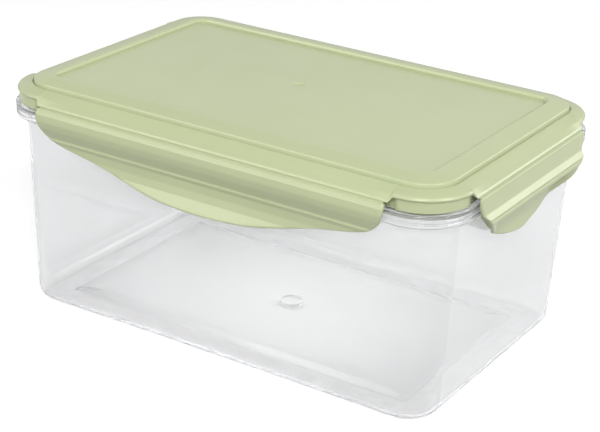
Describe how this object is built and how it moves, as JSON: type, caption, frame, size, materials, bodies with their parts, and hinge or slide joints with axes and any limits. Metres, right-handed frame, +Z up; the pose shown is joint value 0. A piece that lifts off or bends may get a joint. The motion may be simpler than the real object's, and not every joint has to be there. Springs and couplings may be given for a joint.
{
  "type": "snap lid food container",
  "caption": "Rectangular clear plastic food container with a sage green lid whose hinged flaps snap down under the tub's rim.",
  "frame": {"origin": "middle of the tub's foot, on the surface it stands on", "axes": "+X along the long side, +Y across it towards the back flap, +Z up"},
  "size_m": [0.25, 0.1664, 0.1136],
  "materials": {
    "clear_tub": "clear polypropylene, faintly frosted, glossy outside",
    "sage_lid": "satin sage green polypropylene",
    "gasket": "translucent off-white silicone"
  },
  "bodies": {
    "tub": {"tub": "clear_tub"},
    "lid": {"lid": "sage_lid", "lid_gasket": "gasket", "hinge_web_front": "sage_lid", "hinge_web_back": "sage_lid", "hinge_web_right": "sage_lid", "hinge_web_left": "sage_lid"},
    "flap_front": {"latch_front": "sage_lid"},
    "flap_back": {"latch_back": "sage_lid"},
    "flap_right": {"latch_right": "sage_lid"},
    "flap_left": {"latch_left": "sage_lid"}
  },
  "joints": [
    {"name": "lid_lift", "type": "slide", "parent": "tub", "child": "lid", "axis": [0, 0, 1], "range_m": [0, 0.06]},
    {"name": "flap_front_hinge", "type": "hinge", "parent": "lid", "child": "flap_front", "pos_m": [0, -0.08, 0.1052], "axis": [-1, 0, 0], "range_deg": [0, 110], "deforming": ["hinge_web_front"]},
    {"name": "flap_back_hinge", "type": "hinge", "parent": "lid", "child": "flap_back", "pos_m": [0, 0.08, 0.1052], "axis": [1, 0, 0], "range_deg": [0, 110], "deforming": ["hinge_web_back"]},
    {"name": "flap_right_hinge", "type": "hinge", "parent": "lid", "child": "flap_right", "pos_m": [0.121, 0, 0.1052], "axis": [0, -1, 0], "range_deg": [0, 110], "deforming": ["hinge_web_right"]},
    {"name": "flap_left_hinge", "type": "hinge", "parent": "lid", "child": "flap_left", "pos_m": [-0.121, 0, 0.1052], "axis": [0, 1, 0], "range_deg": [0, 110], "deforming": ["hinge_web_left"]}
  ]
}
